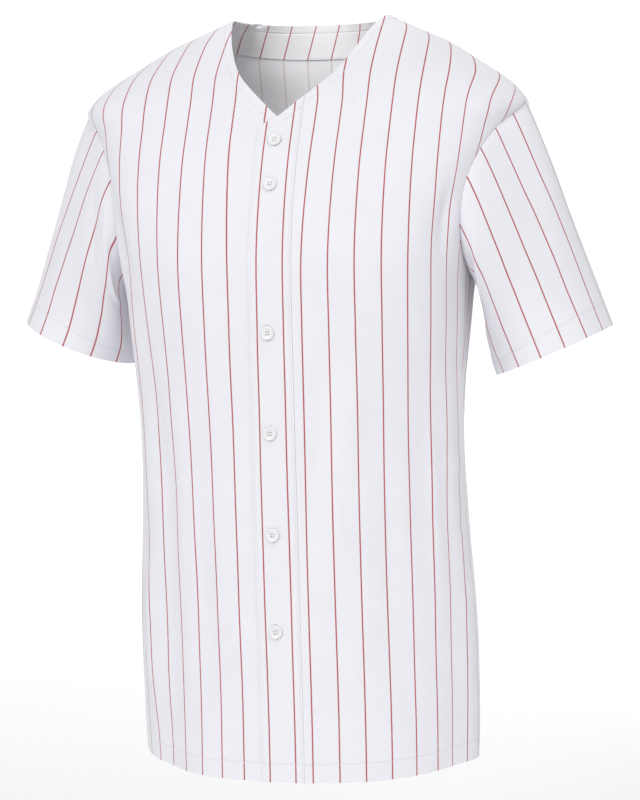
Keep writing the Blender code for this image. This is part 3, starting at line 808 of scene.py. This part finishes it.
class Nodes:
    """Short calls for building a material's node tree."""

    def __init__(self, name):
        self.material = bpy.data.materials.new(name)
        self.material.use_nodes = True
        self.tree = self.material.node_tree
        self.shader = self.tree.nodes["Principled BSDF"]

    def node(self, kind, **settings):
        made = self.tree.nodes.new(kind)
        for key, value in settings.items():
            setattr(made, key, value)
        return made

    def wire(self, source, target):
        self.tree.links.new(source, target)

    def maths(self, operation, a, b=None, c=None):
        made = self.node("ShaderNodeMath", operation=operation)
        for socket, value in zip(made.inputs, (a, b, c)):
            if value is None:
                continue
            if isinstance(value, (int, float)):
                socket.default_value = value
            else:
                self.wire(value, socket)
        return made.outputs[0]

    def band_of(self, value, low, high, to_low, to_high):
        made = self.node("ShaderNodeMapRange", interpolation_type="SMOOTHSTEP")
        ends = {"From Min": low, "From Max": high, "To Min": to_low, "To Max": to_high}
        for name, number in ends.items():
            made.inputs[name].default_value = number
        self.wire(value, made.inputs["Value"])
        return made.outputs["Result"]

    def split(self, layer):
        """A coordinate layer's vector and its two parts."""
        vector = self.node("ShaderNodeUVMap", uv_map=layer).outputs[0]
        made = self.node("ShaderNodeSeparateXYZ")
        self.wire(vector, made.inputs[0])
        return vector, made.outputs[0], made.outputs[1]

    def noise(self, scale, place, detail=2.0):
        made = self.node("ShaderNodeTexNoise")
        made.inputs["Scale"].default_value = scale
        made.inputs["Detail"].default_value = detail
        self.wire(place, made.inputs["Vector"])
        return made.outputs["Fac"]

    def mix(self, factor, a, b):
        """Mixed colour. Each of a and b is a colour or an output."""
        made = self.node("ShaderNodeMix", data_type="RGBA")
        self.wire(factor, made.inputs["Factor"])
        for name, value in (("A", a), ("B", b)):
            if isinstance(value, tuple):
                made.inputs[name].default_value = (*value, 1)
            else:
                self.wire(value, made.inputs[name])
        return made.outputs["Result"]

    def groove(self, way, place, width):
        """1 on a line of stitching and 0 away from it."""
        away = self.maths("ABSOLUTE", self.maths("SUBTRACT", way, place))
        return self.band_of(away, 0.0, width, 1.0, 0.0)

    def finish(self, colour, grain, roughness, height, strength, distance):
        """Wires the shader: its roughness follows the grain, between two values."""
        bump = self.node("ShaderNodeBump")
        bump.inputs["Strength"].default_value = strength
        bump.inputs["Distance"].default_value = distance
        self.wire(height, bump.inputs["Height"])
        self.wire(bump.outputs["Normal"], self.shader.inputs["Normal"])
        self.wire(colour, self.shader.inputs["Base Color"])
        self.wire(self.band_of(grain, 0.3, 0.7, *roughness), self.shader.inputs["Roughness"])
        return self.material


def shade(colour, share):
    return tuple(min(1, c * share) for c in colour)


def knit_material(name, cloth, stripe, stripe_strength, facing_line_at=None):
    """White knit with printed stripes. Its coordinates are metres on the flat cloth."""
    nodes = Nodes(name)
    maths = nodes.maths
    knit, u, v = nodes.split("knit")
    _, from_hem, from_neck = nodes.split("ways")

    shares = maths("FRACT", maths("MULTIPLY_ADD", u, 1 / STRIPE_PITCH, 100.5))
    away = maths("MULTIPLY", maths("ABSOLUTE", maths("SUBTRACT", shares, 0.5)), STRIPE_PITCH)
    ragged = maths("MULTIPLY_ADD", nodes.noise(900, knit), STRIPE_RAGGED, -STRIPE_RAGGED / 2)
    mask = nodes.band_of(maths("ADD", away, ragged), STRIPE_CORE, STRIPE_EDGE, stripe_strength, 0.0)
    ground = nodes.mix(nodes.noise(22, knit, 4), shade(cloth, 0.965), shade(cloth, 1.025))

    wales = maths("SINE", maths("MULTIPLY", u, 2 * math.pi / WALE_PITCH))
    courses = maths("SINE", maths("MULTIPLY", v, 2 * math.pi / COURSE_PITCH))
    loops = maths("MULTIPLY", maths("MULTIPLY", wales, courses), LOOP_HEIGHT)
    fuzz = nodes.noise(420, knit, 3)
    height = maths("MULTIPLY_ADD", fuzz, 0.00010, loops)
    hem = nodes.groove(from_hem, TOPSTITCH_FROM_HEM, GROOVE_WIDTH)
    neck = nodes.groove(from_neck, TOPSTITCH_FROM_NECK, GROOVE_WIDTH)
    height = maths("MULTIPLY_ADD", maths("MAXIMUM", hem, neck), -GROOVE_DEPTH, height)
    if facing_line_at is not None:
        height = maths("MULTIPLY_ADD", nodes.groove(from_neck, facing_line_at, 0.002), -0.0003, height)
    nodes.shader.inputs["Sheen Weight"].default_value = 0.12
    nodes.shader.inputs["Sheen Roughness"].default_value = 0.5
    nodes.shader.inputs["Specular IOR Level"].default_value = 0.25
    return nodes.finish(nodes.mix(mask, ground, stripe), fuzz, (0.78, 0.9), height, 0.8, 1.0)


def speckled_material(name, colour, roughness, scale, depth, change):
    """A plain colour with fine grain: thread or moulded plastic."""
    nodes = Nodes(name)
    grain = nodes.noise(scale, nodes.node("ShaderNodeTexCoord").outputs["Object"], 3)
    tint = nodes.mix(grain, shade(colour, 1 - change), shade(colour, 1 + change))
    return nodes.finish(tint, grain, (roughness - 0.05, roughness + 0.08), grain, 0.5, depth)


def plain_object(name, points, faces, coat):
    data = bpy.data.meshes.new(name)
    data.from_pydata(points, [], faces)
    data.materials.append(coat)
    return smooth_object(name, data)


def thread_run(points, faces, path, outs, radius, sides=5):
    """Adds one piece of thread along a path, closed at both ends."""
    count = len(path)
    along = unit(np.gradient(path, axis=0))
    sideways = unit(np.cross(outs, along))
    up = np.cross(along, sideways)
    base = len(points)
    for k in range(count):
        tight = 0.55 if k in (0, count - 1) else 1.0
        for s in range(sides):
            turn = 2 * math.pi * s / sides
            offset = radius * tight * (math.cos(turn) * sideways[k] + math.sin(turn) * up[k])
            points.append((path[k] + offset).tolist())
    for k in range(count - 1):
        for s in range(sides):
            t = (s + 1) % sides
            faces.append((base + k * sides + s, base + k * sides + t,
                          base + (k + 1) * sides + t, base + (k + 1) * sides + s))
    faces.append(tuple(base + s for s in range(sides)))
    faces.append(tuple(base + (count - 1) * sides + s for s in range(sides)))


def stitched(name, lines, coat, pitch=0.0031, length=0.0023, radius=0.00024):
    """A piece with a row of stitches along each line, given with the outward directions on it."""
    points, faces = [], []
    for line, outs in lines:
        gone = gone_along(line)
        for start in np.arange(pitch / 2, gone[-1] - length, pitch):
            even = start + length * np.array((0.0, 0.25, 0.75, 1.0))
            out = unit(at_lengths(even, gone, outs))
            rise = np.array((-0.0002, 0.00008, 0.00008, -0.0002))[:, None]
            thread_run(points, faces, at_lengths(even, gone, line) + out * rise, out, radius)
    return plain_object(name, points, faces, coat)


def body_line(theta, z, lift=0.0):
    outs = normals_of(torso, theta, z)
    return torso(theta, z) + outs * lift, outs


def along_front(side, lift, keep):
    """Topstitching of the neck edge of one front, where keep says that it shows."""
    line = front_neck_line(BAND_EDGE_X)
    edge, outs = body_line(line[:, 0] * side, line[:, 1])
    inwards = unit(np.cross(unit(np.gradient(edge, axis=0)), outs)) * side
    inside = edge + inwards * TOPSTITCH_FROM_NECK
    inside = inside[inside[:, 2] < -0.004]
    line, outs = body_line(angle_at(inside[:, 0] * side, inside[:, 2]) * side, inside[:, 2])
    line = line + outs * lift(line)[:, None]
    chosen = keep(line)
    return line[chosen], outs[chosen]


def back_line_below(theta, distance):
    """Heights of a line on the back at a distance below the neck edge."""
    z = np.linspace(0.0, -0.05, 101)
    return np.array([np.interp(distance, gone_along(torso(0 * z + angle, z)), z) for angle in theta])


def make_threads(coat):
    """Rows of stitches on the hems, the neck edge, the band and the facing, one piece for each."""
    band_lift = LAP_GAP + BAND_CLOTH
    facing_lift = -(SOLID_CLOTH + SEAM_GAP + FACING_CLOTH + 0.0001)

    ends = {
        "left": (float(angle_at(BAND_SEAM_X + 0.001, HEM_Z)), math.pi / 2 - 0.004),
        "right": (-math.pi / 2 + 0.004, float(angle_at(BAND_EDGE_X - 0.001, HEM_Z))),
        "back": (math.pi / 2 + 0.004, 3 * math.pi / 2 - 0.004),
    }
    hem = []
    for name, (low, high) in ends.items():
        theta = np.linspace(low, high, 420)
        line, outs = body_line(theta, hem_z(theta) + TOPSTITCH_FROM_HEM)
        if name == "left":
            line = line + outs * top_layer_lift(line)[:, None]
        hem.append((line, outs))

    x = np.linspace(BAND_EDGE_X + 0.001, BAND_SEAM_X - 0.001, 40)
    z = np.full(40, HEM_Z + TOPSTITCH_FROM_HEM)
    band = [body_line(angle_at(x, z), z, band_lift)]
    for x_line in (BAND_EDGE_X + 0.0025, BAND_SEAM_X - 0.0022):
        top = np.interp(x_line, NECK_EDGE["x"], NECK_EDGE["z"]) - 0.002
        z = np.linspace(HEM_Z + 0.001, top, 500)
        band.append(body_line(angle_at(x_line, z), z, band_lift))

    def on_band(line):
        return (line[:, 0] > BAND_EDGE_X + 0.001) & (line[:, 0] < BAND_SEAM_X - 0.001)

    theta = np.linspace(math.pi / 2 + 0.25, 3 * math.pi / 2 - 0.25, 160)
    z = back_line_below(theta, TOPSTITCH_FROM_NECK)
    line, outs = body_line(theta, z, facing_lift)
    neck = [
        along_front(1, lambda p: 0 * p[:, 0] + band_lift, on_band),
        along_front(1, top_layer_lift, lambda p: p[:, 0] > BAND_SEAM_X + 0.001),
        along_front(-1, lambda p: 0 * p[:, 0], lambda p: p[:, 0] < BAND_EDGE_X - 0.001),
        body_line(theta, z),
        (line, -outs),
    ]

    edge = facing_line()
    theta = np.concatenate([math.pi - edge[::-1, 0], math.pi + edge[1:, 0]])
    z = np.concatenate([edge[::-1, 1], edge[1:, 1]]) + 0.0022
    line, outs = body_line(theta[2:-2], z[2:-2], facing_lift)
    rows = {"hem": hem, "band": band, "neck": neck, "facing": [(line, -outs)]}
    return {f"{name}_stitches": stitched(f"{name}_stitches", lines, coat) for name, lines in rows.items()}


def cuff_threads(name, skin, normals, shares, reach, coat):
    """The row of stitches round a sleeve's hem."""
    place = 1 - TOPSTITCH_FROM_HEM / reach
    row = int(np.clip(np.searchsorted(shares, place) - 1, 0, len(shares) - 2))
    part = (place - shares[row]) / (shares[row + 1] - shares[row])
    line = skin[row] * (1 - part) + skin[row + 1] * part
    outs = unit(normals[row] * (1 - part) + normals[row + 1] * part)
    return stitched(name, [[np.concatenate([a, a[:1]]) for a in (line, outs)]], coat)


def on_band_frame(z):
    """Place, sideways, upward and outward directions on the band's face at the centre front."""
    centre = torso(np.array(0.0), np.array(z))
    out = normals_of(torso, np.array(0.0), np.array(z))
    sideways = unit(np.cross((0.0, 0.0, 1.0), out))
    return centre + out * (LAP_GAP + BAND_CLOTH), sideways, np.cross(out, sideways), out


def button_mesh():
    """A dished disc with a rounded rim and four holes, as points and faces, lying in the XY plane."""
    r, t = BUTTON_RADIUS, BUTTON_THICK
    profile = (
        (0.0, 0.0003), (r * 0.55, 0.0002), (r * 0.80, 0.0004), (r * 0.94, t * 0.30),
        (r * 0.99, t * 0.48), (r, t * 0.60), (r * 0.985, t * 0.76), (r * 0.94, t * 0.92),
        (r * 0.88, t * 0.99), (r * 0.82, t), (r * 0.76, t * 0.97), (r * 0.70, t * 0.89),
        (r * 0.62, t * 0.80), (r * 0.50, t * 0.75), (0.0, t * 0.73),
    )
    mesh = bmesh.new()
    verts = [mesh.verts.new((radius, 0, height)) for radius, height in profile]
    edges = [mesh.edges.new(pair) for pair in zip(verts, verts[1:])]
    bmesh.ops.spin(mesh, geom=verts + edges, cent=(0, 0, 0), axis=(0, 0, 1), angle=2 * math.pi,
                   steps=56, use_merge=True)
    bmesh.ops.remove_doubles(mesh, verts=mesh.verts, dist=1e-6)
    bmesh.ops.recalc_face_normals(mesh, faces=mesh.faces)
    disc = bpy.data.meshes.new("button_disc")
    mesh.to_mesh(disc)
    mesh.free()
    body = add_object("button_disc", disc)
    holes = bmesh.new()
    for x in (-HOLE_APART, HOLE_APART):
        for y in (-HOLE_APART, HOLE_APART):
            made = bmesh.ops.create_cone(holes, segments=16, radius1=0.00072, radius2=0.00080,
                                         depth=0.008, cap_ends=True)
            bmesh.ops.translate(holes, verts=made["verts"], vec=(x, y, 0.001))
    hole_data = bpy.data.meshes.new("button_holes")
    holes.to_mesh(hole_data)
    holes.free()
    cutter = add_object("button_holes", hole_data)
    cut = body.modifiers.new("holes", "BOOLEAN")
    cut.operation = "DIFFERENCE"
    cut.solver = "EXACT"
    cut.object = cutter
    bpy.context.view_layer.update()
    graph = bpy.context.evaluated_depsgraph_get()
    drilled = body.evaluated_get(graph).to_mesh()
    points = np.array([v.co for v in drilled.vertices])
    faces = [tuple(p.vertices) for p in drilled.polygons]
    body.evaluated_get(graph).to_mesh_clear()
    bpy.data.objects.remove(body, do_unlink=True)
    bpy.data.objects.remove(cutter, do_unlink=True)
    return points, faces


def make_buttons(plastic, thread):
    """The six buttons with their threads, and the sewn buttonholes under them."""
    disc, disc_faces = button_mesh()
    made = []
    for number, z in enumerate(BUTTON_Z, 1):
        foot, sideways, up, out = on_band_frame(z)
        tilt = math.radians(BUTTON_TILT[number - 1])
        right = math.cos(tilt) * sideways + math.sin(tilt) * up
        high = -math.sin(tilt) * sideways + math.cos(tilt) * up
        frame_of = np.stack([right, high, out])
        foot_up = foot + out * SEAM_GAP
        places = (disc @ frame_of + foot_up).tolist()
        button = plain_object(f"button_{number}_disc", places, disc_faces, plastic)
        button.data.set_sharp_from_angle(angle=math.radians(48))

        points, faces = [], []
        for x in (-HOLE_APART, HOLE_APART):
            for strand in (-0.00026, 0.0, 0.00026):
                share = np.linspace(-1, 1, 9)
                rise = 0.00195 + 0.00052 * (1 - share ** 4)
                rise = rise - 0.0013 * smooth_step((np.abs(share) - 0.86) / 0.14)
                local = np.stack([np.full(9, x + strand), share * 0.00135, rise], axis=-1)
                path = local @ frame_of + foot_up
                thread_run(points, faces, path, np.tile(out, (9, 1)), 0.00017, 6)
        sewn = plain_object(f"button_{number}_thread", points, faces, thread)

        level = number == 1
        long_way, short_way = (sideways, up) if level else (up, sideways)
        half = 0.0084 if level else 0.0078
        points, faces = [], []
        for side in (-1, 1):
            for along in np.arange(-half, half, 0.00036):
                start = foot + long_way * along + short_way * side * 0.00022
                end = foot + long_way * (along + 0.0001) + short_way * side * 0.00135
                share = np.linspace(0, 1, 5)[:, None]
                path = start * (1 - share) + end * share
                path = path + out * (0.00024 * np.sin(math.pi * share) - 0.00004)
                thread_run(points, faces, path, np.tile(out, (5, 1)), 0.00017, 5)
        for end_at in (-half, half):
            for step in np.arange(-0.0003, 0.00035, 0.0003):
                share = np.linspace(-1, 1, 7)[:, None]
                path = foot + long_way * (end_at + step) + short_way * share * 0.0015
                path = path + out * (0.00026 * (1 - share ** 2) + 0.00002)
                thread_run(points, faces, path, np.tile(out, (7, 1)), 0.00019, 5)
        hole = plain_object(f"buttonhole_{number}", points, faces, thread)
        made.append((number, button, sewn, hole))
    return made


def ride(piece, slot, *nodes):
    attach(piece, "root")
    if nodes:
        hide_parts(*nodes)


CAMERA_TURN = 14.0
CAMERA_DISTANCE = 2.6
CAMERA_AXIS_Y = -0.03
EYE_Z = -0.3947
FOCAL_PIXELS = 2549.0
CENTRE_PIXEL = 304.4
FRAME_WIDTH, FRAME_HEIGHT = 640, 800
FLOOR_Z = -1.02
FLOOR_BEHIND_CAMERA = 9.0
FLOOR_HALF_WIDTH = 14.0
SWEEP_FROM, SWEEP_RADIUS, SWEEP_STEPS = 7.5, 2.2, 12
WALL_TOP_Z = 3.6
WORLD_LIGHT = 0.55
# A wide panel above the floor behind the garment, facing down
BACKGROUND_LIGHT = 70.0
BACKGROUND_LIGHT_SIZE = 5.0
BACKGROUND_LIGHT_PLACE = (0.0, 5.0, 3.4)
# A soft spot from above the front, aimed through the neck opening
NECK_LIGHT = 5.0
NECK_LIGHT_CONE, NECK_LIGHT_RADIUS = 19.0, 0.06
NECK_LIGHT_FROM = (0.03, -0.50, 0.45)
NECK_LIGHT_AT = (0.0, 0.08, -0.05)
LIGHTS = (
    # name, turn round the garment from its front, height, both in degrees; angular size; strength
    ("key", -12.0, 17.0, 20.0, 0.88),
    ("top", 28.0, 46.0, 50.0, 0.80),
    ("behind", 200.0, 25.0, 60.0, 0.30),
)

WHITE_CLOTH = (0.80, 0.80, 0.845)
# Inside of the cloth: painted light. It is a lighter white than the outer cloth, so the shaded inner
# faces read bright in place of light passing through the thin cloth. Its faint red is the print seen from
# behind.
INSIDE_CLOTH_PAINTED_LIGHT = (0.90, 0.89, 0.91)
# Back neck facing: painted light, a lighter white than the outer cloth to lift the shade inside the neck
FACING_CLOTH_PAINTED_LIGHT = (0.93, 0.915, 0.935)
STRIPE_RED = (0.42, 0.030, 0.045)
FAINT_RED = (0.58, 0.47, 0.50)


def add_light(name, kind, energy, **settings):
    data = bpy.data.lights.new(name, kind)
    data.energy = energy
    for key, value in settings.items():
        setattr(data, key, value)
    return add_object(name, data)


def make_stage():
    """A pale floor under the garment that sweeps up behind it, soft light and the camera."""
    profile = [(-FLOOR_BEHIND_CAMERA, FLOOR_Z), (SWEEP_FROM, FLOOR_Z)]
    for k in range(1, SWEEP_STEPS + 1):
        turn = math.pi / 2 * k / SWEEP_STEPS
        profile.append((SWEEP_FROM + SWEEP_RADIUS * math.sin(turn),
                        FLOOR_Z + SWEEP_RADIUS * (1 - math.cos(turn))))
    profile.append((SWEEP_FROM + SWEEP_RADIUS, WALL_TOP_Z))
    points = [(x, y, z) for x in (-FLOOR_HALF_WIDTH, FLOOR_HALF_WIDTH) for y, z in profile]
    count = len(profile)
    faces = [(k, k + 1, count + k + 1, count + k) for k in range(count - 1)]
    floor_coat = speckled_material("pale_floor", (0.93, 0.93, 0.935), 0.85, 3.0, 0.0005, 0.004)
    plain_object("floor", points, faces, floor_coat)

    scene = bpy.context.scene
    scene.world = bpy.data.worlds.new("studio")
    scene.world.use_nodes = True
    background = scene.world.node_tree.nodes["Background"]
    background.inputs["Color"].default_value = (1.0, 1.0, 1.0, 1)
    background.inputs["Strength"].default_value = WORLD_LIGHT
    for name, turn, height, angle, strength in LIGHTS:
        lamp = add_light(name, "SUN", strength, angle=math.radians(angle))
        lamp.rotation_euler = (math.pi / 2 - math.radians(height), 0, math.radians(turn))
    lamp = add_light("background", "AREA", BACKGROUND_LIGHT, size=BACKGROUND_LIGHT_SIZE)
    lamp.location = BACKGROUND_LIGHT_PLACE
    lamp = add_light("neck", "SPOT", NECK_LIGHT, spot_size=math.radians(NECK_LIGHT_CONE),
                     spot_blend=1.0, shadow_soft_size=NECK_LIGHT_RADIUS)
    lamp.location = NECK_LIGHT_FROM
    aim = Vector(NECK_LIGHT_AT) - Vector(NECK_LIGHT_FROM)
    lamp.rotation_euler = aim.to_track_quat("-Z", "Y").to_euler()

    scene.view_settings.view_transform = "Standard"
    data = bpy.data.cameras.new("camera")
    data.sensor_fit = "VERTICAL"
    data.sensor_height = 36.0
    data.lens = FOCAL_PIXELS / FRAME_HEIGHT * data.sensor_height
    data.clip_end = 100
    camera = add_object("camera", data)
    turn = math.radians(CAMERA_TURN)
    sideways = (FRAME_WIDTH / 2 - CENTRE_PIXEL) / FOCAL_PIXELS * CAMERA_DISTANCE
    camera.location = (
        CAMERA_DISTANCE * math.sin(turn) + sideways * math.cos(turn),
        -CAMERA_DISTANCE * math.cos(turn) + CAMERA_AXIS_Y + sideways * math.sin(turn),
        EYE_Z,
    )
    camera.rotation_euler = (math.pi / 2, 0, turn)
    scene.camera = camera


def main():
    knit = knit_material("striped_knit", WHITE_CLOTH, STRIPE_RED, 0.92, FACING_LINE_FROM_NECK)
    knit_back = knit_material("striped_knit_back", WHITE_CLOTH, STRIPE_RED, 0.92)
    # Facing: painted light, lighter than the outer cloth to lift the shade inside the neck
    painted_light_facing_knit = knit_material("striped_knit_facing_painted_light", FACING_CLOTH_PAINTED_LIGHT, STRIPE_RED, 0.85)
    # Inner faces of the cloth: painted light, lighter than the outer cloth to lift their shade
    painted_light_reverse = knit_material("striped_knit_inside_painted_light", INSIDE_CLOTH_PAINTED_LIGHT, FAINT_RED, 0.6)
    thread = speckled_material("white_thread", (0.84, 0.84, 0.87), 0.6, 2500, 0.0001, 0.03)
    plastic = speckled_material("white_plastic_satin", (0.80, 0.80, 0.81), 0.28, 500, 0.00004, 0.012)

    right = front_object("cloth_front_right", -UNDER_EDGE_X, -1, STRIPE_START["right"], (knit, painted_light_reverse))
    left = front_object("cloth_front_left", BAND_SEAM_X, 1, STRIPE_START["left"], (knit, painted_light_reverse),
                        top_layer_lift)
    band = band_object((knit_back, painted_light_reverse))
    back, facing = back_object((knit_back, painted_light_reverse), (painted_light_reverse, painted_light_facing_knit))
    sleeves, cuffs = {}, {}
    for side, name in ((1, "left"), (-1, "right")):
        made = sleeve_object(side, f"cloth_sleeve_{name}", STRIPE_START[f"sleeve_{name}"],
                             (knit_back, painted_light_reverse))
        sleeves[name] = made[0]
        cuffs[name] = cuff_threads(f"cuff_stitches_{name}", *made[1:], thread)
    threads = make_threads(thread)

    nodes = {"front_right": right, "front_left": left, "placket_band": band, "back": back}
    for node, piece in nodes.items():
        ride(piece, "pinstripe_knit", node)
    ride(facing, "facing_knit", "back_neck_facing")
    for name in ("left", "right"):
        ride(sleeves[name], "pinstripe_knit", f"sleeve_{name}")
    for piece in (*cuffs.values(), *threads.values()):
        ride(piece, "pinstripe_knit")
    for number, button, sewn, hole in make_buttons(plastic, thread):
        ride(button, "white_plastic", f"button_{number}")
        ride(sewn, "pinstripe_knit")
        ride(hole, "pinstripe_knit")


make_stage()
main()
